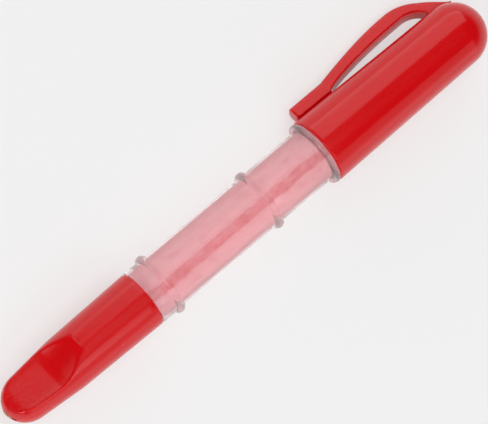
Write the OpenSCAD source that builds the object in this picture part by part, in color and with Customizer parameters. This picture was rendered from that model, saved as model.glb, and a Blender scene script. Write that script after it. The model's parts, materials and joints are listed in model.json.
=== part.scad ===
// Powder chalk liner pen with its cap posted on the rear of the barrel.
// It is built in the pen's own frame: +X runs from the tip of the nose to the dome of the cap,
// the clip stands up along +Z, and the two scooped sides of the nose face +Y and -Y.
// lay() then rolls it over, so that it lies on the table on its cap, its beads and its clip.

/* [Barrel] */
// Outside diameter of the clear barrel in front of its middle bead
barrel_d = 11.5; // [10.5:0.1:13]
// Extra radius of the barrel behind its middle bead
barrel_step = 0.1; // [0:0.05:0.2]
// Diameter of the powder bore
bore_d = 7.0; // [5.5:0.1:8.4]
// Distance from the shoulder under the nose to the front bead
seat_len = 4.45; // [3.5:0.05:6]
// Distance from the front bead to the middle bead
front_pitch = 25.65; // [18:0.05:32]
// Distance from the middle bead to the stop bead
rear_pitch = 14.5; // [10:0.1:20]
// Height of the front bead above the seat
front_bead_h = 0.8; // [0.5:0.05:1]
// Height of the middle bead above the barrel
middle_bead_h = 0.95; // [0.6:0.05:1.2]
// Width of the front bead and of the middle bead
bead_w = 1.8; // [1.2:0.1:2.4]
// Width of the stop bead
stop_bead_w = 1.2; // [1:0.1:1.8]
// Length of barrel behind the mouth of the cap
tail_len = 17.6; // [14:0.1:21]
// Length of the land that grips the cap
land_len = 4.5; // [3:0.1:6]

/* [Nose] */
// Length of the nose, from tip to rim
nose_len = 34.55; // [29:0.05:41]
// Radius of the nose at its rim
nose_r = 6.0; // [5.8:0.05:7.2]
// Distance from the tip to the end of the tapered tongue
tongue_len = 14.7; // [12:0.1:18]
// How much narrower the nose is in radius there than at its rim
tongue_draft = 0.35; // [0.1:0.05:0.6]
// Length of the round end
tip_len = 5.6; // [4.5:0.1:7]
// How much narrower the nose is in radius where its round end starts
tip_draft = 1.12; // [0.6:0.02:1.4]
// Thickness of the tongue midway between its edges
tongue_t = 4.8; // [4.4:0.1:7]
// Radius of the dish across each scooped side
dish_r = 14; // [12:0.5:40]
// Length of each scooped side before it starts to run out
scoop_len = 10.6; // [9:0.1:14]
// Radius of the hollow that turns it outwards
scoop_r = 5; // [3:0.5:18]
// Angle at which it runs out to the round
scoop_rise = 26; // [18:1:40]
// Depth of the socket for the barrel's neck
socket_len = 6.1; // [5:0.1:8]
// Wall of the nose round that socket
socket_wall = 1.35; // [1:0.05:1.6]

/* [Wheel] */
// Diameter over the teeth
wheel_d = 5.0; // [4.2:0.1:6]
// Thickness of the wheel
wheel_t = 0.6; // [0.5:0.05:0.8]
// Number of teeth
wheel_teeth = 36; // [24:1:48]
// Depth of a tooth
tooth_h = 0.22; // [0.1:0.02:0.4]
// How far the wheel stands out of the tip
wheel_show = 0.22; // [0.1:0.02:0.4]
// Diameter of the axle
axle_d = 1.0; // [0.8:0.05:1.2]
// Length of the axle
axle_len = 4.0; // [3:0.1:4.6]

/* [Cap] */
// Length of the cap
cap_len = 43.0; // [40:0.1:52]
// Wall of the cap at its mouth
cap_wall = 1.05; // [0.8:0.05:1.3]
// How much narrower the cap is in radius at its dome
cap_draft = 0.5; // [0.3:0.01:0.7]
// Wall of the cap at its dome
dome_wall = 0.95; // [0.8:0.05:1.3]
// Depth of the straight part of the bore
grip_depth = 6; // [5:0.5:8]

/* [Clip] */
// Width of the clip
clip_w = 3.5; // [3:0.1:5]
// Thickness of the clip at its crest and at its pad
clip_t = 3.0; // [2.4:0.05:3.6]
// Gap under the arch at its crest
clip_gap = 2.75; // [2:0.05:3.4]
// Distance from the mouth of the cap to the end of the clip
clip_back = 1.7; // [0.8:0.1:3]
// Length of the pad that lies on the cap
pad_len = 8.8; // [6:0.1:12]
// Radius of the outer edges of the clip
clip_round = 1.2; // [0.6:0.1:1.3]
// Distance from the crest of the arch to the centre of the root
crest_back = 6.2; // [5.5:0.1:9]
// Radius of the root that the clip flexes on
root_r = 1.25; // [1:0.05:1.3]

/* [Plug] */
// Length of the plug inside the bore
plug_len = 6.2; // [5:0.1:8]
// Diameter of the plug's head
plug_head_d = 10.8; // [8.5:0.1:11]
// Thickness of the plug's head
plug_head_t = 1.6; // [1.2:0.1:2]

/* [Fits] */
// Radial clearance of a push fit
push_clear = 0.05; // [0.02:0.01:0.08]
// Radial clearance of the wheel on its axle
run_clear = 0.03; // [0.02:0.01:0.06]
// Gap between faces that only rest on each other
rest_gap = 0.05; // [0.03:0.01:0.1]
// Gap between the wheel and the walls of its slot
slot_clear = 0.1; // [0.08:0.01:0.2]

/* [Hidden] */
$fn = 96;

barrel_r = barrel_d / 2;
rear_r = barrel_r + barrel_step;
bore_r = bore_d / 2;
socket_r = nose_r - socket_wall;
neck_r = socket_r - push_clear;
tongue_r = nose_r - tongue_draft;
tip_r = nose_r - tip_draft;

// Radii of the cap: the same bore pushes over the rear land and over the seat behind the nose
land_r = nose_r;
cap_bore_r = land_r + push_clear;
mouth_r = cap_bore_r + cap_wall;
dome_r = mouth_r - cap_draft;
dome_bore_r = dome_r - dome_wall;
stop_r = mouth_r - rest_gap;
tail_r = min(rear_r, dome_bore_r + 0.3) - 0.12;

// Stations along the pen, from the tip of the nose
neck_x = nose_len - socket_len + rest_gap;
front_bead_x = nose_len + seat_len;
middle_bead_x = front_bead_x + front_pitch;
stop_bead_x = middle_bead_x + rear_pitch;
mouth_x = stop_bead_x + stop_bead_w / 2 + rest_gap;
tail_x = mouth_x + tail_len;
plug_x = tail_x - plug_len;
end_x = mouth_x + cap_len;
dome_x = end_x - dome_r;

// Wheel, its slot and the bore of its axle
wheel_r = wheel_d / 2;
wheel_x = wheel_r - wheel_show;
slot_r = wheel_r + 0.3;
slot_t = wheel_t + 2 * slot_clear;
channel_r = 0.8;

// Clip: root, crest and pad
root_setback = 1.0;
root_drop = 4.15;
pivot_x = dome_x - root_setback;
crest_x = pivot_x - crest_back;
clip_x = mouth_x + clip_back;
pad_x = clip_x + pad_len;
pad_gap = 0.1;
crest_r = cap_radius(crest_x) + clip_gap + clip_t;
pivot_r = crest_r - root_drop;
root_under = pivot_r - 0.85;
clip_edge = 0.3;
end_curl = min(0.9, clip_t - clip_round - clip_edge - 0.5);

// Saddle of the clip's root: it is lower in front, under the arm, than behind
front_lip = root_under - 0.25;
back_lip = pivot_r - 0.3;

// How it lies: on the mouth of the cap and on the rounded outer edge of the clip's crest
edge_reach = crest_r - clip_round;
edge_side = clip_w / 2 - clip_round;
clip_down = asin((mouth_r - clip_round) / norm([edge_reach, edge_side])) - atan2(edge_side, edge_reach);
clip_side = edge_reach * cos(clip_down) + edge_side * sin(clip_down) + clip_round;

// ---------------------------------------------------------------- helpers

// Turns a half outline of [radius, x] points about the pen's axis
module turned(points) rotate([0, 90, 0]) rotate_extrude() polygon([for (p = points) [p[0], p[1]]]);

// Outline points [radius, x] of a round-topped bead on a barrel of radius r
function bead(x, r, h, w) = [for (a = [0:15:180]) [r + h * sin(a), x - w / 2 * cos(a)]];

// Radius of the cap's outside at x
function cap_radius(x) = mouth_r - cap_draft * (x - mouth_x) / (dome_x - mouth_x);

// Drills or fills a round bar across the pen at x, z, along Y
module crossbar(x, z, r, length) translate([x, length / 2, z]) rotate([90, 0, 0]) cylinder(r = r, h = length);

// Rolls the pen over until its clip touches the table, with the origin under the middle of its box
module lay()
    translate([-(end_x - wheel_show) / 2, -(clip_side - mouth_r) / 2, mouth_r])
        rotate([-(90 + clip_down), 0, 0]) children();

// ---------------------------------------------------------------- barrel

// Clear moulded barrel: neck, seat, front and middle beads, stop bead, gripping land and open tail
module barrel() color([0.93, 0.93, 0.95, 0.35])
    difference() {
        turned(concat(
            [[0, neck_x], [neck_r - 0.3, neck_x], [neck_r, neck_x + 0.3], [neck_r, nose_len + rest_gap],
             [land_r, nose_len + rest_gap]],
            bead(front_bead_x, land_r, front_bead_h, bead_w),
            [[barrel_r, front_bead_x + bead_w / 2]],
            bead(middle_bead_x, barrel_r, middle_bead_h, bead_w),
            [[rear_r, middle_bead_x + bead_w / 2], [rear_r, stop_bead_x - stop_bead_w / 2]],
            bead(stop_bead_x, rear_r + 0.6, stop_r - rear_r - 0.6, stop_bead_w),
            [[land_r, stop_bead_x + stop_bead_w / 2], [land_r, mouth_x + land_len],
             [tail_r, mouth_x + land_len + 0.6], [tail_r, tail_x - 0.4], [tail_r - 0.4, tail_x], [0, tail_x]]));
        turned([[0, neck_x - 1], [bore_r, neck_x - 1], [bore_r, tail_x + 1], [0, tail_x + 1]]);
    }

// Charge of chalk powder that fills the bore as far as the plug
module chalk_powder() color([0.9, 0.45, 0.48])
    turned([[0, neck_x + 0.2], [bore_r - 0.02, neck_x + 0.2],
            [bore_r - 0.02, plug_x - 0.1], [0, plug_x - 0.1]]);

// Push-in stopper of the tail, pulled out to refill: a hollow stem and a head to pull it by
module rear_plug() color([0.85, 0.06, 0.07])
    difference() {
        turned([[0, plug_x], [bore_r - 0.6, plug_x], [bore_r - push_clear, plug_x + 0.8],
                [bore_r - push_clear, tail_x + rest_gap], [plug_head_d / 2 - 0.3, tail_x + rest_gap],
                [plug_head_d / 2, tail_x + rest_gap + 0.3], [plug_head_d / 2, tail_x + plug_head_t - 0.4],
                [plug_head_d / 2 - 0.4, tail_x + plug_head_t], [0, tail_x + plug_head_t]]);
        turned([[0, plug_x + 1.2], [bore_r - 1.1, plug_x + 1.2],
                [bore_r - 1.1, tail_x + plug_head_t + 1], [0, tail_x + plug_head_t + 1]]);
    }

// ---------------------------------------------------------------- nose

// What one scoop takes away: a shallow dish from the tip, then a hollow and a ramp out through the round
module scoop() {
    ramp_x = scoop_len + scoop_r * sin(scoop_rise);
    ramp_r = dish_r - scoop_r * (1 - cos(scoop_rise));
    clear_r = dish_r + tongue_t / 2 - nose_r - 1;
    clear_x = ramp_x + (ramp_r - clear_r) / tan(scoop_rise);
    translate([0, tongue_t / 2 + dish_r, 0]) turned(concat([[0, -2], [dish_r, -2]],
        [for (i = [0:8]) let (a = scoop_rise * i / 8)
            [dish_r - scoop_r * (1 - cos(a)), scoop_len + scoop_r * sin(a)]],
        [[clear_r, clear_x], [0, clear_x]]));
}

// Socket for the barrel's neck, and the funnel that leads the chalk on to the wheel
module powder_path()
    turned([[0, wheel_x + wheel_r - 0.4], [channel_r, wheel_x + wheel_r - 0.4], [channel_r, wheel_x + wheel_r + 1.5],
            [bore_r - 0.2, nose_len - socket_len - 1], [bore_r - 0.2, nose_len - socket_len],
            [socket_r, nose_len - socket_len], [socket_r, nose_len + 1], [0, nose_len + 1]]);

// Red moulded nose: round-ended, scooped on two sides, slotted at its tip for the wheel
module nose() color([0.86, 0.07, 0.08])
    difference() {
        turned(concat([for (a = [0:7.5:90]) [tip_r * sin(a), tip_len - tip_len * cos(a)]],
            [[tongue_r, tongue_len], [nose_r, nose_len - 0.15], [nose_r - 0.15, nose_len], [0, nose_len]]));
        scoop();
        mirror([0, 1, 0]) scoop();
        powder_path();
        crossbar(wheel_x, 0, slot_r, slot_t);
        translate([wheel_x, -axle_len / 2, 0]) rotate([-90, 0, 0])
            cylinder(d = axle_d, h = axle_len / 2 + nose_r);
    }

// Steel pin pressed into the tongue from its underside, through the slot
module wheel_axle() color([0.75, 0.76, 0.78]) crossbar(wheel_x, 0, axle_d / 2, axle_len);

// Toothed brass wheel that carries chalk out of the slot as it rolls
module marking_wheel() color([0.8, 0.62, 0.25])
    translate([wheel_x, wheel_t / 2, 0]) rotate([90, 0, 0]) difference() {
        linear_extrude(wheel_t) polygon([for (i = [0:wheel_teeth - 1], p = [[0, 0], [0.4, tooth_h], [0.6, tooth_h]])
            let (a = 360 * (i + p[0]) / wheel_teeth) (wheel_r - p[1]) * [cos(a), sin(a)]]);
        translate([0, 0, -1]) cylinder(r = axle_d / 2 + run_clear, h = wheel_t + 2);
    }

// ---------------------------------------------------------------- cap

// Saddle on the cap that the root of the clip sits in
module clip_saddle()
    difference() {
        translate([0, clip_w / 2, 0]) rotate([90, 0, 0]) linear_extrude(clip_w) polygon([
            [pivot_x - 2.2, dome_bore_r + 0.5], [pivot_x - 1.3, front_lip], [pivot_x, front_lip],
            [pivot_x, back_lip], [pivot_x + 1.8, back_lip], [pivot_x + 3.3, dome_bore_r + 0.1]]);
        crossbar(pivot_x, pivot_r, root_r + rest_gap, clip_w + 2);
    }

// Red moulded cap: drafted shell with a domed end, its mouth against the stop bead
module cap() color([0.88, 0.05, 0.07]) {
    turned(concat([[cap_bore_r, mouth_x + 0.15], [cap_bore_r + 0.15, mouth_x], [mouth_r - 0.2, mouth_x],
                   [mouth_r, mouth_x + 0.2]],
        [for (a = [0:7.5:90]) [dome_r * cos(a), dome_x + dome_r * sin(a)]],
        [for (a = [90:-10:0]) [dome_bore_r * cos(a), dome_x + dome_bore_r * sin(a)]],
        [[cap_bore_r, mouth_x + grip_depth]]));
    clip_saddle();
}

// Height of the clip's outer face: level over the pad, a quarter wave up to the crest, then down to the root
function clip_top(x) =
    let (pad = cap_radius(clip_x) + pad_gap + clip_t - 0.1, start = pad_x - 0.5)
    x < start ? pad :
    x < crest_x ? pad + (crest_r - pad) * sin(90 * (x - start) / (crest_x - start)) :
    crest_r - 0.056 * pow(x - crest_x, 2);

// Height of its inner face: a curled end, along the cap under the pad, the arch, then down to the root
function clip_under(x) =
    let (pad = cap_radius(x) + pad_gap, arch = crest_r - clip_t, fall_x = crest_x + 1.9,
         fall_len = 4.6, fall_depth = 4.0)
    x < clip_x + end_curl ? pad + end_curl - sqrt(max(0, pow(end_curl, 2) - pow(clip_x + end_curl - x, 2))) :
    x < pad_x ? pad :
    x < crest_x ? pad + (arch - pad) * sqrt(sin(90 * (x - pad_x) / (crest_x - pad_x))) :
    x < fall_x ? arch :
    max(root_under, arch - fall_depth * (1 - sqrt(1 - pow(min(1, (x - fall_x) / fall_len), 2))));

// Corner of an outline: points of a quarter circle round a centre [y, z]
function corner(y, z, r, from, steps) =
    [for (i = [0:steps]) let (a = from + 90 * i / steps) [y + r * cos(a), z + r * sin(a)]];

// Outline of the clip across its length at x, shrunk by a margin: round outer edges, small inner ones
function clip_section(x, margin) =
    let (w = clip_w / 2 - margin, top = clip_top(x) - margin, low = clip_under(x) + margin)
    concat(corner(w - clip_round, top - clip_round, clip_round, 0, 5),
           corner(clip_round - w, top - clip_round, clip_round, 90, 5),
           corner(clip_edge - w, low + clip_edge, clip_edge, 180, 2),
           corner(w - clip_edge, low + clip_edge, clip_edge, 270, 2));

// Red clip that arches from the dome back to the cap, with a round root to flex on
module pocket_clip() color([0.88, 0.05, 0.07]) {
    steps = 40;
    stations = concat([[clip_x, 0.2], [clip_x + 0.12, 0.06]], [for (x = [0.3:0.3:0.9]) [clip_x + x, 0]],
        [for (i = [1:steps]) [clip_x + 1 + (pivot_x - clip_x - 1) * i / steps, 0]]);
    rings = [for (s = stations) [for (q = clip_section(s[0], s[1])) [s[0], q[0], q[1]]]];
    count = len(rings[0]);
    last = len(rings) - 1;
    polyhedron([for (r = rings) each r], concat(
        [for (i = [0:last - 1], j = [0:count - 1]) let (k = (j + 1) % count, a = i * count, b = a + count)
            each [[a + j, b + j, a + k], [a + k, b + j, b + k]]],
        [[for (j = [count - 1:-1:0]) j], [for (j = [0:count - 1]) last * count + j]]));
    crossbar(pivot_x, pivot_r, root_r, clip_w);
}

// ---------------------------------------------------------------- nodes

lay() barrel();
lay() chalk_powder();
lay() rear_plug();
lay() nose();
lay() wheel_axle();
lay() marking_wheel();
lay() cap();
lay() pocket_clip();
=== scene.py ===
import json
import math

import bpy
from mathutils import Matrix, Vector


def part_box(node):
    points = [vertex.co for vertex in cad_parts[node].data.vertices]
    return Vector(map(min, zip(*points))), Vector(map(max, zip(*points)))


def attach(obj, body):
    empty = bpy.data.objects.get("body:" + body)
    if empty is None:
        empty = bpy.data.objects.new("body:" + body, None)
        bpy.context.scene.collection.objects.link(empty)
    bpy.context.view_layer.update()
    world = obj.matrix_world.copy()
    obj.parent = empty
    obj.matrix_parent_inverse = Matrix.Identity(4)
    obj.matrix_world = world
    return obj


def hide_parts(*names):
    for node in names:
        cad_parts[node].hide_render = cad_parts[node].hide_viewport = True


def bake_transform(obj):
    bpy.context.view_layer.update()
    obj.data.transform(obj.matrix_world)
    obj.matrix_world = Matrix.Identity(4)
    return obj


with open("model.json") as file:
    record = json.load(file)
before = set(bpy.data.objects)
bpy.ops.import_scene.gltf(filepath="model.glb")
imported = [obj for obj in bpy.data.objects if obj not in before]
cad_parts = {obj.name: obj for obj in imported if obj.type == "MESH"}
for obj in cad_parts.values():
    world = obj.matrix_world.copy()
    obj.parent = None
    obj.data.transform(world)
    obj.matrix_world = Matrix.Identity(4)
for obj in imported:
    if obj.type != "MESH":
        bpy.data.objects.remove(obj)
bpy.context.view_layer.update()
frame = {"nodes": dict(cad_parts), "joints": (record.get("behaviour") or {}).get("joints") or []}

# ---------------------------------------------------------------- nose
# The red nose is a moulded bullet, scooped on two sides to a blunt tongue with shallow dished faces,
# so that it runs close along a ruler. It pushes on to the neck of the barrel, leads the chalk down a funnel, and has a narrow
# slot in its tip for the marking wheel. Every mould mark on it is softly rounded.

# All pieces are drawn in millimetres about the pen's axis, X from the tip, with the clip up along Z
PEN_LENGTH = 122.8
clip_hinge = next(j for j in frame["joints"] if j["name"] == "clip_flex")
pen_roll = math.atan2(clip_hinge["axis"][2], clip_hinge["axis"][1])
barrel_low, barrel_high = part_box("barrel")
pen_tip = Vector((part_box("cap")[1].x - PEN_LENGTH / 1000,
                  (barrel_low.y + barrel_high.y) / 2, (barrel_low.z + barrel_high.z) / 2))


def lay(piece):
    """Lays a piece drawn in millimetres where the frame has it, with its place in its mesh."""
    piece.matrix_world = (Matrix.Translation(pen_tip) @ Matrix.Rotation(pen_roll, 4, "X")
                          @ Matrix.Scale(0.001, 4))
    bpy.ops.object.select_all(action="DESELECT")
    piece.select_set(True)
    bpy.context.view_layer.objects.active = piece
    bpy.ops.object.transform_apply(location=True, rotation=True, scale=True)


def draw_out(stations):
    """Extrudes the open ring being edited from station to station: (x, height, half width, half depth)."""
    x, height, wide, deep = stations[0]
    for next_x, next_height, next_wide, next_deep in stations[1:]:
        step = (next_x - x, 0, next_height - height)
        bpy.ops.mesh.extrude_region_move(TRANSFORM_OT_translate={"value": step})
        if next_wide == 0:
            bpy.ops.mesh.merge(type="CENTER")
            break
        bpy.ops.transform.resize(value=(1, next_wide / wide, next_deep / deep),
                                 center_override=(next_x, 0, next_height))
        x, height, wide, deep = next_x, next_height, next_wide, next_deep


def close_up(through=False):
    """Joins the open ends of the mesh being edited if a bore runs through it, or fills them."""
    bpy.ops.mesh.select_all(action="DESELECT")
    bpy.ops.mesh.select_non_manifold()
    if through:
        bpy.ops.mesh.bridge_edge_loops()
    else:
        bpy.ops.mesh.edge_face_add()
    bpy.ops.mesh.select_all(action="SELECT")
    bpy.ops.mesh.normals_make_consistent(inside=False)
    bpy.ops.object.mode_set(mode="OBJECT")


def turn(name, outline, sides=96, through=False):
    """Turns an outline of (x, radius) points into a closed round piece."""
    bpy.ops.object.select_all(action="DESELECT")
    x, radius = outline[0]
    bpy.ops.mesh.primitive_circle_add(vertices=sides, radius=radius, location=(x, 0, 0),
                                      rotation=(0, math.pi / 2, 0))
    piece = bpy.context.object
    piece.name = piece.data.name = name
    bpy.ops.object.transform_apply(location=True, rotation=True, scale=True)
    bpy.ops.object.mode_set(mode="EDIT")
    bpy.ops.mesh.select_all(action="SELECT")
    draw_out([(x, 0, radius, radius) for x, radius in outline])
    close_up(through)
    return piece


def arc(x, radius, across, along, start, stop, steps):
    """Points of an elliptical arc in an outline, round a centre at x and radius."""
    turns = [math.radians(start + (stop - start) * i / steps) for i in range(steps + 1)]
    return [(x + along * math.cos(t), radius + across * math.sin(t)) for t in turns]


def smooth(piece, degrees=35):
    """Shades a piece smooth but for its corners."""
    bpy.ops.object.select_all(action="DESELECT")
    piece.select_set(True)
    bpy.context.view_layer.objects.active = piece
    bpy.ops.object.shade_smooth_by_angle(angle=math.radians(degrees))


def cut(piece, cutter):
    """Cuts one mesh out of another with an applied Boolean."""
    bpy.ops.object.select_all(action="DESELECT")
    bpy.context.view_layer.objects.active = piece
    piece.select_set(True)
    bpy.ops.object.modifier_add(type="BOOLEAN")
    piece.modifiers[-1].operation = "DIFFERENCE"
    piece.modifiers[-1].solver = "EXACT"
    piece.modifiers[-1].object = cutter
    bpy.ops.object.modifier_apply(modifier=piece.modifiers[-1].name)
    bpy.data.objects.remove(cutter)


NOSE_RIM_X, NOSE_RIM_R = 34.55, 6.0
TONGUE_X, TONGUE_R = 14.7, 5.65
TIP_X, TIP_R = 5.6, 4.88
TONGUE_HALF, DISH_R = 2.4, 14.0
SCOOP_X, HOLLOW_R, RAMP_RISE = 10.6, 5.0, math.radians(26)
ROLL_OFF_X, ROLL_OFF = 3.2, 0.05


def nose_radius(x):
    if x > TONGUE_X:
        return TONGUE_R + (NOSE_RIM_R - TONGUE_R) * (x - TONGUE_X) / (NOSE_RIM_X - TONGUE_X)
    return TIP_R + (TONGUE_R - TIP_R) * (x - TIP_X) / (TONGUE_X - TIP_X)


def scoop_height(x, z):
    """How far from the axis the scooped side lies: a dish, then a hollow and a ramp that run it out."""
    ramp_x = SCOOP_X + HOLLOW_R * math.sin(RAMP_RISE)
    turn_in = min(max(x - SCOOP_X, 0), ramp_x - SCOOP_X)
    rise = HOLLOW_R - math.sqrt(HOLLOW_R ** 2 - turn_in ** 2) + max(x - ramp_x, 0) * math.tan(RAMP_RISE)
    across = max(DISH_R - rise, abs(z) + 1.0)
    return TONGUE_HALF + DISH_R - math.sqrt(across ** 2 - z ** 2) - ROLL_OFF * max(ROLL_OFF_X - x, 0) ** 2


def ridge_round(x):
    """The ridge round the scoop is crisp at the sides and softens where the ramp runs out."""
    return 0.45 + 1.0 * min(max((x - 14) / 5, 0), 1) ** 2


inside = [(4.4, 0.8), (6.3, 0.8), (27.45, 3.3), (28.45, 3.3), (28.45, 4.65), (34.4, 4.65), (34.55, 4.8)]
rim = arc(NOSE_RIM_X - 0.3, NOSE_RIM_R - 0.3, 0.3, 0.3, 0, 90, 5)
body_steps = [33.0 - 1.0 * i for i in range(11)] + [22.0 - 0.25 * i for i in range(1, 65)]
body = [(x, nose_radius(x)) for x in body_steps]
tip = arc(TIP_X, 0, TIP_R, TIP_X, 90, 180, 30)[:-1] + [(0, 0)]
nose = turn("chalk_nose", inside + rim + body + tip, sides=144)

for v in nose.data.vertices:
    side = abs(v.co.y)
    height, rounding = scoop_height(v.co.x, v.co.z), ridge_round(v.co.x)
    near = max(rounding - abs(side - height), 0) if v.co.x > 0.3 and v.co.y ** 2 + v.co.z ** 2 > 16 * v.co.x / 9 else 0
    v.co.y = math.copysign(min(side, height) - near ** 2 / (4 * rounding), v.co.y)

WHEEL_X, SLOT_R, SLOT_WIDTH = 2.28, 2.8, 0.8
for radius, depth, y in ((SLOT_R, SLOT_WIDTH, 0), (0.5, 6.0, 1.0)):
    bpy.ops.object.select_all(action="DESELECT")
    bpy.ops.mesh.primitive_cylinder_add(vertices=64, radius=radius, depth=depth, location=(WHEEL_X, y, 0),
                                        rotation=(math.pi / 2, 0, 0))
    cut(nose, bpy.context.object)
smooth(nose)
lay(nose)


# Node groups used by more than one finish
def group(name, inputs, outputs):
    """Starts a node group with named inputs (name, type, default) and named outputs (name, type)."""
    tree = bpy.data.node_groups.new(name, "ShaderNodeTree")
    for label, kind, value in inputs:
        socket = tree.interface.new_socket(name=label, in_out="INPUT", socket_type=kind)
        socket.default_value = value
    for label, kind in outputs:
        tree.interface.new_socket(name=label, in_out="OUTPUT", socket_type=kind)
    return tree, tree.nodes.new("NodeGroupInput"), tree.nodes.new("NodeGroupOutput")


def add(tree, kind, settings=(), **links):
    """Adds a node: settings are attributes, links are sockets or values by socket name (_ for a space)."""
    node = tree.nodes.new(kind)
    for key, value in dict(settings).items():
        setattr(node, key, value)
    for key, value in links.items():
        socket = node.inputs[int(key[1:])] if key[0] == "i" and key[1:].isdigit() else node.inputs[key.replace("_", " ")]
        if isinstance(value, bpy.types.NodeSocket):
            tree.links.new(value, socket)
        else:
            socket.default_value = value
    return node


# Moulded skin: the faint orange peel, flow unevenness and hairline scratches of moulded plastic
skin, skin_in, skin_out = group(
    "Moulded skin",
    [("Vector", "NodeSocketVector", (0, 0, 0)), ("Roughness", "NodeSocketFloat", 0.25),
     ("Scratches", "NodeSocketFloat", 0.5)],
    [("Roughness", "NodeSocketFloat"), ("Height", "NodeSocketFloat")])
peel = add(skin, "ShaderNodeTexNoise", Vector=skin_in.outputs["Vector"], Scale=900.0, Detail=2.0)
flow = add(skin, "ShaderNodeTexNoise", Vector=skin_in.outputs["Vector"], Scale=120.0, Detail=3.0)
stretch = add(skin, "ShaderNodeMapping", Vector=skin_in.outputs["Vector"], Scale=(0.08, 1.0, 1.0),
              Rotation=(0.3, 0.2, 0.35))
hair = add(skin, "ShaderNodeTexNoise", Vector=stretch.outputs["Vector"], Scale=2600.0, Detail=1.0)
lines = add(skin, "ShaderNodeMapRange", Value=hair.outputs["Fac"], From_Min=0.66, From_Max=0.74)
marks = add(skin, "ShaderNodeMath", {"operation": "MULTIPLY"},
            i0=lines.outputs["Result"], i1=skin_in.outputs["Scratches"])
uneven = add(skin, "ShaderNodeMath", {"operation": "MULTIPLY_ADD"},
             i0=flow.outputs["Fac"], i1=0.12, i2=-0.06)
rough = add(skin, "ShaderNodeMath", {"operation": "ADD"},
            i0=skin_in.outputs["Roughness"], i1=uneven.outputs["Value"])
rough_marks = add(skin, "ShaderNodeMath", {"operation": "MULTIPLY_ADD"},
                  i0=marks.outputs["Value"], i1=0.15, i2=rough.outputs["Value"])
relief = add(skin, "ShaderNodeMath", {"operation": "MULTIPLY_ADD"},
             i0=marks.outputs["Value"], i1=-0.15, i2=peel.outputs["Fac"])
skin.links.new(rough_marks.outputs["Value"], skin_out.inputs["Roughness"])
skin.links.new(relief.outputs["Value"], skin_out.inputs["Height"])

# Chalk dust: a patchy film of powder, thickest towards one end of the piece
dust, dust_in, dust_out = group(
    "Chalk dust",
    [("Vector", "NodeSocketVector", (0, 0, 0)), ("Full Until", "NodeSocketFloat", 0.0),
     ("None After", "NodeSocketFloat", 0.02), ("Amount", "NodeSocketFloat", 0.3)],
    [("Mask", "NodeSocketFloat")])
along = add(dust, "ShaderNodeSeparateXYZ", Vector=dust_in.outputs["Vector"])
fade = add(dust, "ShaderNodeMapRange", Value=along.outputs["X"], From_Min=dust_in.outputs["Full Until"],
           From_Max=dust_in.outputs["None After"], To_Min=1.0, To_Max=0.0)
grains = add(dust, "ShaderNodeTexNoise", Vector=dust_in.outputs["Vector"], Scale=1500.0, Detail=5.0, Roughness=0.7)
patches = add(dust, "ShaderNodeMapRange", Value=grains.outputs["Fac"], From_Min=0.45, From_Max=0.75)
spread = add(dust, "ShaderNodeMath", {"operation": "MULTIPLY"},
             i0=fade.outputs["Result"], i1=patches.outputs["Result"])
film = add(dust, "ShaderNodeMath", {"operation": "MULTIPLY", "use_clamp": True},
           i0=spread.outputs["Value"], i1=dust_in.outputs["Amount"])
dust.links.new(film.outputs["Value"], dust_out.inputs["Mask"])


def finish(name):
    """Starts a material on Object coordinates turned into the pen's own frame, in metres from its tip."""
    material = bpy.data.materials.new(name)
    material.use_nodes = True
    tree = material.node_tree
    shader = tree.nodes["Principled BSDF"]
    place = add(tree, "ShaderNodeTexCoord")
    pen = add(tree, "ShaderNodeMapping", {"vector_type": "TEXTURE"}, Vector=place.outputs["Object"],
              Location=pen_tip, Rotation=(pen_roll, 0, 0))
    return material, tree, shader, pen.outputs["Vector"]


def use(group_tree, tree, **links):
    return add(tree, "ShaderNodeGroup", {"node_tree": group_tree}, **links)


def wear(piece, material):
    """Gives a piece, or a node of the frame, its one material."""
    piece.data.materials.clear()
    piece.data.materials.append(material)


CHALK_PINK = (0.86, 0.36, 0.40, 1)


def red_plastic(name, red, roughness, dust_ends, dust_amount):
    """Red moulded plastic with a soft gloss, dusted with chalk between two distances from the tip."""
    material, tree, shader, pen = finish(name)
    tone = add(tree, "ShaderNodeTexNoise", Vector=pen, Scale=90.0, Detail=3.0)
    shade = add(tree, "ShaderNodeMix", {"data_type": "RGBA"}, Factor=tone.outputs["Fac"])
    shade.inputs[6].default_value = red
    shade.inputs[7].default_value = tuple(c * 0.92 for c in red[:3]) + (1,)
    chalk = use(dust, tree, Vector=pen, Full_Until=dust_ends[0], None_After=dust_ends[1], Amount=dust_amount)
    dusted = add(tree, "ShaderNodeMix", {"data_type": "RGBA"}, Factor=chalk.outputs["Mask"])
    tree.links.new(shade.outputs[2], dusted.inputs[6])
    dusted.inputs[7].default_value = CHALK_PINK
    surface = use(skin, tree, Vector=pen, Roughness=roughness, Scratches=0.1)
    dull = add(tree, "ShaderNodeMath", {"operation": "MULTIPLY_ADD", "use_clamp": True},
               i0=chalk.outputs["Mask"], i1=0.5, i2=surface.outputs["Roughness"])
    bump = add(tree, "ShaderNodeBump", Strength=0.05, Distance=0.0001, Height=surface.outputs["Height"])
    tree.links.new(dusted.outputs[2], shader.inputs["Base Color"])
    tree.links.new(dull.outputs["Value"], shader.inputs["Roughness"])
    tree.links.new(bump.outputs["Normal"], shader.inputs["Normal"])
    shader.inputs["IOR"].default_value = 1.5
    return material


wear(nose, red_plastic("Nose red", (0.80, 0.002, 0.005, 1), 0.2, (0.0, 0.012), 0.12))
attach(nose, "nose")
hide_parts("nose")

# ---------------------------------------------------------------- wheel and axle
# A thin brass wheel with fine cut teeth turns in the slot and picks chalk up as it rolls. It runs
# on a short steel pin that is pressed into the nose from the underside. Both are bare metal, and
# chalk sits between the teeth.

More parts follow.
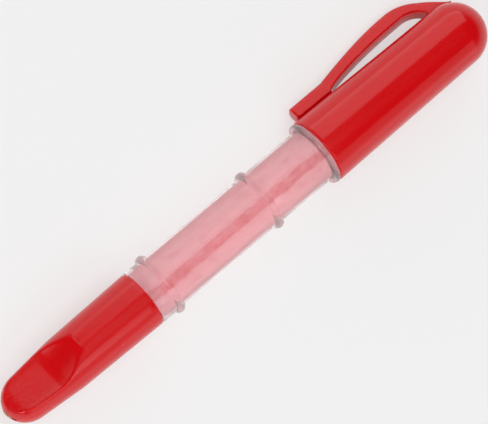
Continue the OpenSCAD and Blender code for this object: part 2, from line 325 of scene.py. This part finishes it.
brass, tree, shader, pen = finish("Chalky brass")
brushed = add(tree, "ShaderNodeTexNoise", Vector=pen, Scale=4000.0, Detail=3.0)
chalky = add(tree, "ShaderNodeTexNoise", Vector=pen, Scale=1800.0, Detail=5.0)
caught = add(tree, "ShaderNodeMapRange", Value=chalky.outputs["Fac"], From_Min=0.5, From_Max=0.7, To_Max=0.7)
metal = add(tree, "ShaderNodeMix", {"data_type": "RGBA"}, Factor=caught.outputs["Result"])
metal.inputs[6].default_value = (0.72, 0.50, 0.19, 1)
metal.inputs[7].default_value = CHALK_PINK
bare = add(tree, "ShaderNodeMath", {"operation": "SUBTRACT"}, i0=1.0, i1=caught.outputs["Result"])
sheen = add(tree, "ShaderNodeMapRange", Value=brushed.outputs["Fac"], To_Min=0.2, To_Max=0.5)
tree.links.new(metal.outputs[2], shader.inputs["Base Color"])
tree.links.new(bare.outputs["Value"], shader.inputs["Metallic"])
tree.links.new(sheen.outputs["Result"], shader.inputs["Roughness"])
wear(frame["nodes"]["marking_wheel"], brass)

steel, tree, shader, pen = finish("Drawn steel")
grain = add(tree, "ShaderNodeMapping", Vector=pen, Scale=(1.0, 0.05, 1.0))
drawn = add(tree, "ShaderNodeTexNoise", Vector=grain.outputs["Vector"], Scale=9000.0, Detail=2.0)
sheen = add(tree, "ShaderNodeMapRange", Value=drawn.outputs["Fac"], To_Min=0.2, To_Max=0.45)
tone = add(tree, "ShaderNodeMix", {"data_type": "RGBA"}, Factor=drawn.outputs["Fac"])
tone.inputs[6].default_value = (0.50, 0.50, 0.52, 1)
tone.inputs[7].default_value = (0.66, 0.66, 0.68, 1)
tree.links.new(tone.outputs[2], shader.inputs["Base Color"])
tree.links.new(sheen.outputs["Result"], shader.inputs["Roughness"])
shader.inputs["Metallic"].default_value = 1.0
wear(frame["nodes"]["wheel_axle"], steel)

# ---------------------------------------------------------------- barrel
# The barrel is one clear moulding with a thick wall and three raised beads. Its neck plugs into the
# nose, the cap butts against the last bead, and the land behind that bead grips the cap. The bore
# behind holds the chalk, and its open tail takes the stopper.

BORE_R = 3.5
BARREL_R, REAR_R, LAND_R, NECK_R = 5.75, 5.85, 6.0, 4.6
SHOULDER_X, TAIL_X = 34.6, 97.4
FRONT_BEAD_X, MIDDLE_BEAD_X, STOP_BEAD_X = 39.0, 64.65, 79.15
MOUTH_X = 79.8
BEAD_HALF, STOP_HALF = 0.9, 0.6


def bead(x, base, top, half):
    """Outline of a half-round bead that stands on a base radius."""
    return arc(x, base, top - base, half, 180, 0, 12)


NECK_X = 28.5
bore = [(NECK_X + 0.5 * i, BORE_R) for i in range(137)] + [(TAIL_X, BORE_R)]
tail = [(TAIL_X, 5.2), (TAIL_X - 0.12, 5.5), (TAIL_X - 0.4, 5.73), (MOUTH_X + 5.1, 5.73),
        (MOUTH_X + 4.5, LAND_R), (STOP_BEAD_X + STOP_HALF, LAND_R)]
stop_bead = [(x, r) for x, r in reversed(bead(STOP_BEAD_X, REAR_R + 0.6, 7.05, STOP_HALF))]
middle_bead = list(reversed(bead(MIDDLE_BEAD_X, BARREL_R, 6.7, BEAD_HALF)))
front_bead = list(reversed(bead(FRONT_BEAD_X, BARREL_R + 0.12, 6.8, BEAD_HALF)))
seat = [(FRONT_BEAD_X - BEAD_HALF - 0.1, LAND_R - 0.05), (FRONT_BEAD_X - BEAD_HALF - 0.4, LAND_R),
        (SHOULDER_X + 0.3, LAND_R), (SHOULDER_X + 0.08, LAND_R - 0.1), (SHOULDER_X, LAND_R - 0.3),
        (SHOULDER_X, NECK_R), (NECK_X + 0.35, NECK_R), (NECK_X + 0.1, NECK_R - 0.25), (NECK_X, NECK_R - 0.4)]
outside = (tail + stop_bead + [(STOP_BEAD_X - STOP_HALF, REAR_R), (STOP_BEAD_X - 4.0, REAR_R), (70.0, REAR_R),
                               (MIDDLE_BEAD_X + BEAD_HALF + 0.4, REAR_R - 0.03)]
           + middle_bead + [(60.0, BARREL_R), (52.0, BARREL_R), (44.0, BARREL_R)] + front_bead + seat)
barrel = turn("clear_barrel", bore + outside, sides=128, through=True)
smooth(barrel)
lay(barrel)

clear, tree, shader, pen = finish("Clear plastic")
surface = use(skin, tree, Vector=pen, Roughness=0.12, Scratches=0.2)
bump = add(tree, "ShaderNodeBump", Strength=0.04, Distance=0.0001, Height=surface.outputs["Height"])
tree.links.new(surface.outputs["Roughness"], shader.inputs["Roughness"])
tree.links.new(bump.outputs["Normal"], shader.inputs["Normal"])
shader.inputs["Base Color"].default_value = (1.0, 0.90, 0.91, 1)
shader.inputs["IOR"].default_value = 1.5
shader.inputs["Transmission Weight"].default_value = 0.8
# rays from the lamps go straight through, so that they reach the chalk behind the wall
lamp_rays = add(tree, "ShaderNodeLightPath")
open_air = add(tree, "ShaderNodeBsdfTransparent", Color=(0.97, 0.97, 0.97, 1))
let_through = add(tree, "ShaderNodeMixShader", Fac=lamp_rays.outputs["Is Shadow Ray"])
tree.links.new(shader.outputs["BSDF"], let_through.inputs[1])
tree.links.new(open_air.outputs["BSDF"], let_through.inputs[2])
tree.links.new(let_through.outputs["Shader"], tree.nodes["Material Output"].inputs["Surface"])
wear(barrel, clear)
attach(barrel, "barrel")
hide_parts("barrel")

# ---------------------------------------------------------------- chalk
# The charge is fine pink tailor's chalk, poured in from the tail and shaken down. It clings to the
# wall of the bore, so it is pressed against the clear plastic. Its colour is mottled at random with paler
# drifts of loose powder, and a darker red band of painted shade runs along the side that faces the camera.

PLUG_X = TAIL_X - 6.2
chalk_ends = (NECK_R - 1.1, NECK_X + 0.2, PLUG_X - 0.15)
packed = turn("chalk_charge", [(chalk_ends[1], 1.2), (chalk_ends[1], 2.6)]
              + arc(chalk_ends[1] + 0.4, BORE_R - 0.38, 0.4, 0.4, 180, 90, 4)
              + [(30 + i, BORE_R + 0.02) for i in range(60)]
              + arc(chalk_ends[2] - 0.4, BORE_R - 0.38, 0.4, 0.4, 90, 0, 4)
              + [(chalk_ends[2], 2.6), (chalk_ends[2] - 0.3, 1.2), (chalk_ends[2] - 0.4, 0)], sides=96)
smooth(packed, 60)
lay(packed)

chalk, tree, shader, pen = finish("Pink chalk")
# painted shade: a darker, deeper red band runs along the side facing the camera, a little off the top
split = add(tree, "ShaderNodeSeparateXYZ", Vector=pen)
back = add(tree, "ShaderNodeMath", {"operation": "MULTIPLY"}, i0=split.outputs["Y"], i1=-1.0)
bearing = add(tree, "ShaderNodeMath", {"operation": "ARCTAN2"}, i0=split.outputs["Z"], i1=back.outputs["Value"])
wander = add(tree, "ShaderNodeTexNoise", Vector=pen, Scale=260.0, Detail=4.0)
strayed = add(tree, "ShaderNodeMath", {"operation": "MULTIPLY_ADD"},
              i0=wander.outputs["Fac"], i1=0.3, i2=bearing.outputs["Value"])
# the band of painted shade: its bearing round the pen, and where it starts and stops fading out
SHADE_BAND_MIDDLE, SHADE_BAND_INSIDE, SHADE_BAND_OUTSIDE = -0.42, 0.19, 0.36
off_shade_band = add(tree, "ShaderNodeMath", {"operation": "SUBTRACT"},
                 i0=strayed.outputs["Value"], i1=SHADE_BAND_MIDDLE)
from_shade_band = add(tree, "ShaderNodeMath", {"operation": "ABSOLUTE"}, i0=off_shade_band.outputs["Value"])
painted_shade_band = add(tree, "ShaderNodeMapRange", {"interpolation_type": "SMOOTHSTEP"}, Value=from_shade_band.outputs["Value"],
             From_Min=SHADE_BAND_INSIDE, From_Max=SHADE_BAND_OUTSIDE, To_Min=1.0, To_Max=0.0)
grain_x = add(tree, "ShaderNodeMapping", Vector=pen, Scale=(0.45, 1.0, 1.0))
clumps = add(tree, "ShaderNodeTexNoise", Vector=grain_x.outputs["Vector"], Scale=700.0, Detail=6.0, Roughness=0.65)
mottle = add(tree, "ShaderNodeMapRange", Value=clumps.outputs["Fac"], From_Min=0.3, From_Max=0.7,
             To_Min=-0.35, To_Max=0.35)
# the painted shade band and the random mottle together pick the chalk's colour, from pale to deep red
shade_and_mottle = add(tree, "ShaderNodeMath", {"operation": "MULTIPLY_ADD"},
           i0=painted_shade_band.outputs["Result"], i1=0.7, i2=mottle.outputs["Result"])
ramp = add(tree, "ShaderNodeValToRGB", Fac=shade_and_mottle.outputs["Value"])
ramp.color_ramp.elements[0].color = (0.98, 0.42, 0.46, 1)
ramp.color_ramp.elements[1].color = (0.80, 0.10, 0.13, 1)
powder = add(tree, "ShaderNodeTexNoise", Vector=pen, Scale=3500.0, Detail=4.0)
rough_powder = add(tree, "ShaderNodeMapRange", Value=clumps.outputs["Fac"], To_Min=0.85, To_Max=1.0)
bump = add(tree, "ShaderNodeBump", Strength=0.5, Distance=0.0002, Height=powder.outputs["Fac"])
tree.links.new(ramp.outputs["Color"], shader.inputs["Base Color"])
tree.links.new(rough_powder.outputs["Result"], shader.inputs["Roughness"])
tree.links.new(bump.outputs["Normal"], shader.inputs["Normal"])
shader.inputs["Specular IOR Level"].default_value = 0.1
wear(packed, chalk)
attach(packed, "barrel")
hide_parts("chalk_powder")

# ---------------------------------------------------------------- stopper
# The stopper closes the tail of the barrel and is pulled out by its head to refill the pen. It is
# a thin hollow moulding in the cap's red plastic, with a led-in stem and a rounded rim.

STEM_R, HEAD_R = 3.45, 5.4
plug = turn("stopper", [(PLUG_X + 1.2, 2.4), (TAIL_X + 1.5, 2.4), (TAIL_X + 1.6, 2.5)]
            + arc(TAIL_X + 1.2, HEAD_R - 0.4, 0.4, 0.4, 0, 90, 6)
            + arc(TAIL_X + 0.35, HEAD_R - 0.3, 0.3, 0.3, 90, 180, 5)
            + [(TAIL_X + 0.05, STEM_R), (PLUG_X + 0.8, STEM_R), (PLUG_X + 0.15, STEM_R - 0.5),
               (PLUG_X, STEM_R - 0.7), (PLUG_X, 0)], sides=72)
smooth(plug)
lay(plug)
wear(plug, red_plastic("Stopper red", (0.76, 0.004, 0.008, 1), 0.28, (PLUG_X / 1000, PLUG_X / 1000 + 0.006), 0.6))
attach(plug, "plug")
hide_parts("rear_plug")

# ---------------------------------------------------------------- cap
# The cap is a deep red moulding with a domed end and a slight draft, so that it slides off its core.
# Its mouth is rounded over, and the straight first part of its bore grips the barrel. It is posted
# on the rear, with its mouth against the last bead.

MOUTH_R, DOME_R = 7.1, 6.6
DOME_X = PEN_LENGTH - DOME_R
CAP_BORE_R, DOME_BORE_R = 6.05, 5.65
cap = turn("cap_shell", arc(DOME_X, 0, DOME_BORE_R, DOME_BORE_R, 0, 90, 16)[1:] + [(MOUTH_X + 6.0, CAP_BORE_R)]
           + [(MOUTH_X + 0.3, CAP_BORE_R)] + arc(MOUTH_X + 0.25, CAP_BORE_R + 0.25, 0.25, 0.25, 270, 180, 4)
           + arc(MOUTH_X + 0.4, MOUTH_R - 0.4, 0.4, 0.4, 180, 90, 8)
           + [(MOUTH_X + 5 * i, MOUTH_R - (MOUTH_R - DOME_R) * 5 * i / (DOME_X - MOUTH_X)) for i in range(1, 8)]
           + arc(DOME_X, 0, DOME_R, DOME_R, 90, 0, 32)[:-1] + [(PEN_LENGTH, 0)], sides=144)
smooth(cap)
lay(cap)
cap_red = red_plastic("Cap red", (0.80, 0.002, 0.005, 1), 0.16, (0.07, 0.0799), 0.12)
wear(cap, cap_red)
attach(cap, "cap")
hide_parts("cap")

# ---------------------------------------------------------------- clip
# The clip is moulded in one with the cap: it springs from the dome, arches forward over the cap and
# lies down on it in a blunt pad. Its outer face is strongly rounded and its sides are flat. It has
# no hinge, so it bends at its root.

CLIP_HALF, CLIP_THICK, END_CURL = 1.75, 3.0, 0.9
CREST_X, ROOT_X, CLIP_X, PAD_X = 109.0, 115.2, 81.5, 90.3
CREST_R = 12.449


def cap_radius(x):
    return MOUTH_R - (MOUTH_R - DOME_R) * (x - MOUTH_X) / (DOME_X - MOUTH_X)


def clip_top(x):
    """Outer face: level over the pad, a quarter wave up to the crest, then down to the dome."""
    pad, start = cap_radius(CLIP_X) + CLIP_THICK, PAD_X - 0.5
    if x < start:
        return pad
    if x < CREST_X:
        return pad + (CREST_R - pad) * math.sin(math.pi / 2 * (x - start) / (CREST_X - start))
    return CREST_R - 0.056 * (x - CREST_X) ** 2


def clip_under(x):
    """Inner face: along the cap under the pad, then the arch, then into the wall of the cap."""
    pad, arch, fall = cap_radius(x) + 0.1, CREST_R - CLIP_THICK, CREST_X + 1.9
    if x < CLIP_X + END_CURL:
        return pad + END_CURL - math.sqrt(max(END_CURL ** 2 - (CLIP_X + END_CURL - x) ** 2, 0))
    if x < PAD_X:
        return pad
    if x < CREST_X:
        return pad + (arch - pad) * math.sqrt(math.sin(math.pi / 2 * (x - PAD_X) / (CREST_X - PAD_X)))
    if x < fall:
        return arch
    sunk = 5.95 if x < DOME_X else math.sqrt(DOME_R ** 2 - (x - DOME_X) ** 2) - 0.5
    return max(sunk, arch - 4.0 * (1 - math.sqrt(max(0, 1 - ((x - fall) / 4.6) ** 2))))


clip_steps = ([120.4 - 0.25 * i for i in range(46)] + [108.7 - 0.6 * i for i in range(28)]
              + [92.2 - 0.2 * i for i in range(17)] + [88.6 - 0.8 * i for i in range(8)]
              + [82.4 - 0.1 * i for i in range(7)])
clip_stations = [(x, (clip_top(x) + clip_under(x)) / 2, CLIP_HALF, (clip_top(x) - clip_under(x)) / 2)
                 for x in clip_steps]
end_height, end_deep = clip_stations[-1][1], clip_stations[-1][3]
for back, shrink in ((0.12, 0.06), (0.05, 0.15), (0.01, 0.28), (0.0, 0.4)):
    clip_stations.append((CLIP_X + back, end_height, CLIP_HALF - shrink, end_deep - shrink))

bpy.ops.object.select_all(action="DESELECT")
first_x, first_height, first_wide, first_deep = clip_stations[0]
bpy.ops.mesh.primitive_plane_add(size=2, location=(first_x, 0, 0), rotation=(0, math.pi / 2, 0))
clip = bpy.context.object
clip.name = clip.data.name = "moulded_clip"
clip.scale = (CLIP_THICK / 2, CLIP_HALF, 1)
bpy.ops.object.transform_apply(location=True, rotation=True, scale=True)
bpy.ops.object.mode_set(mode="EDIT")
for above, radius, segments in ((True, 1.2, 8), (False, 0.3, 3)):
    bpy.ops.mesh.select_all(action="DESELECT")
    bpy.ops.object.mode_set(mode="OBJECT")
    for v in clip.data.vertices:
        v.select = abs(abs(v.co.z) - CLIP_THICK / 2) < 0.001 and (v.co.z > 0) == above
    bpy.ops.object.mode_set(mode="EDIT")
    bpy.ops.mesh.bevel(affect="VERTICES", offset=radius, segments=segments, clamp_overlap=False)
bpy.ops.mesh.select_all(action="SELECT")
bpy.ops.mesh.delete(type="ONLY_FACE")
bpy.ops.mesh.select_all(action="SELECT")
bpy.ops.transform.resize(value=(1, 1, first_deep / (CLIP_THICK / 2)), center_override=(first_x, 0, 0))
bpy.ops.transform.translate(value=(0, 0, first_height))
draw_out(clip_stations)
bpy.ops.mesh.select_all(action="DESELECT")
bpy.ops.mesh.select_non_manifold()
bpy.ops.mesh.edge_face_add()
bpy.ops.mesh.select_all(action="SELECT")
bpy.ops.mesh.normals_make_consistent(inside=False)
bpy.ops.object.mode_set(mode="OBJECT")
smooth(clip, 40)
lay(clip)
wear(clip, cap_red)


def place(x, y, z):
    """A point drawn in millimetres on the pen, where the frame has it."""
    return pen_tip + Matrix.Rotation(pen_roll, 3, "X") @ Vector((x, y, z)) / 1000


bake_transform(clip)
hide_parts("pocket_clip")

# ---------------------------------------------------------------- studio
# The pen lies on a plain pale table under a soft overhead lamp, with a large soft panel on each side.
# The surroundings are pale near the horizon and darker overhead.

bpy.ops.object.select_all(action="DESELECT")
bpy.ops.mesh.primitive_plane_add(size=20)
floor = bpy.context.object
floor.name = "table"
table_top = bpy.data.materials.new("Pale table")
table_top.use_nodes = True
tree = table_top.node_tree
shader = tree.nodes["Principled BSDF"]
shader.inputs["Base Color"].default_value = (0.92, 0.92, 0.92, 1)
shader.inputs["Roughness"].default_value = 0.9
shader.inputs["Specular IOR Level"].default_value = 0.1
# seen by the camera, or through gloss and clear plastic, the table is part plain white
seen = add(tree, "ShaderNodeLightPath")
camera_or_gloss = add(tree, "ShaderNodeMath", {"operation": "MAXIMUM"},
                      i0=seen.outputs["Is Camera Ray"], i1=seen.outputs["Is Glossy Ray"])
looked_at = add(tree, "ShaderNodeMath", {"operation": "MAXIMUM"},
                i0=camera_or_gloss.outputs["Value"], i1=seen.outputs["Is Transmission Ray"])
share = add(tree, "ShaderNodeMath", {"operation": "MULTIPLY"}, i0=looked_at.outputs["Value"], i1=0.55)
white = add(tree, "ShaderNodeEmission", Strength=1.0)
whiten = add(tree, "ShaderNodeMixShader", Fac=share.outputs["Value"])
tree.links.new(shader.outputs["BSDF"], whiten.inputs[1])
tree.links.new(white.outputs["Emission"], whiten.inputs[2])
tree.links.new(whiten.outputs["Shader"], tree.nodes["Material Output"].inputs["Surface"])
wear(floor, table_top)


def panel(name, bearing, size, radiance, x=0.0, distance=0.6, seen_in_gloss=True):
    """A lamp of (length along the pen, width), at an angle from straight up towards +Y, facing the pen."""
    lamp = bpy.data.lights.new(name, "AREA")
    lamp.shape = "RECTANGLE"
    lamp.size, lamp.size_y = size
    lamp.energy = math.pi * size[0] * size[1] * radiance
    fixture = bpy.data.objects.new(name, lamp)
    bpy.context.scene.collection.objects.link(fixture)
    angle = math.radians(bearing)
    fixture.location = (x, distance * math.sin(angle), distance * math.cos(angle))
    fixture.rotation_euler = (-angle, 0, 0)
    fixture.visible_glossy = seen_in_gloss
    return fixture


panel("overhead_lamp", 0, (0.6, 0.6), 2.5, distance=0.9, seen_in_gloss=False)
panel("clip_side_panel", 56, (0.84, 0.72), 1.1, x=0.48)
panel("near_side_panel", -68, (0.7, 0.52), 0.5)
panel("nose_side_panel", -38, (0.5, 0.26), 1.5, x=-0.16)
end_panel = panel("tip_end_panel", 0, (0.2, 0.3), 4.0, x=-0.45, distance=0.4)
end_panel.rotation_euler = (0, -math.atan2(0.45, 0.4), 0)

world = bpy.data.worlds.new("Studio")
bpy.context.scene.world = world
world.use_nodes = True
tree = world.node_tree
direction = add(tree, "ShaderNodeTexCoord")
split = add(tree, "ShaderNodeSeparateXYZ", Vector=direction.outputs["Generated"])
rise = add(tree, "ShaderNodeMapRange", {"interpolation_type": "SMOOTHSTEP"}, Value=split.outputs["Z"],
           From_Min=0.0, From_Max=0.4, To_Min=0.7, To_Max=0.05)
tree.links.new(rise.outputs["Result"], tree.nodes["Background"].inputs["Strength"])
tree.nodes["Background"].inputs["Color"].default_value = (1, 1, 1, 1)

VIEW_WIDTH, SENSOR = 0.09385, 36.0
VIEW_TILT, VIEW_TURN = math.radians(14.5), math.radians(20)
IMAGE_SLOPE = math.radians(40.2)
DISTANCE = 0.8
pen_turn = Matrix.Rotation(pen_roll, 3, "X")
across = pen_turn @ Vector((0, -math.cos(VIEW_TURN), -math.sin(VIEW_TURN)))
to_camera = (across * math.cos(VIEW_TILT) + Vector((-1, 0, 0)) * math.sin(VIEW_TILT)).normalized()
pen_way = (Vector((1, 0, 0)) - to_camera * to_camera.x).normalized()
clip_way = to_camera.cross(pen_way)
right = pen_way * math.cos(IMAGE_SLOPE) - clip_way * math.sin(IMAGE_SLOPE)
up = pen_way * math.sin(IMAGE_SLOPE) + clip_way * math.cos(IMAGE_SLOPE)
lens = bpy.data.cameras.new("camera")
lens.lens = SENSOR * DISTANCE / VIEW_WIDTH
lens.sensor_width = SENSOR
camera = bpy.data.objects.new("camera", lens)
bpy.context.scene.collection.objects.link(camera)
aim = place(60.85, 0, 0) + clip_way * 0.0002
turned = Matrix((right, up, to_camera)).transposed().to_4x4()
camera.matrix_world = Matrix.Translation(aim + to_camera * DISTANCE) @ turned
bpy.context.scene.camera = camera
bpy.context.scene.view_settings.view_transform = "Standard"
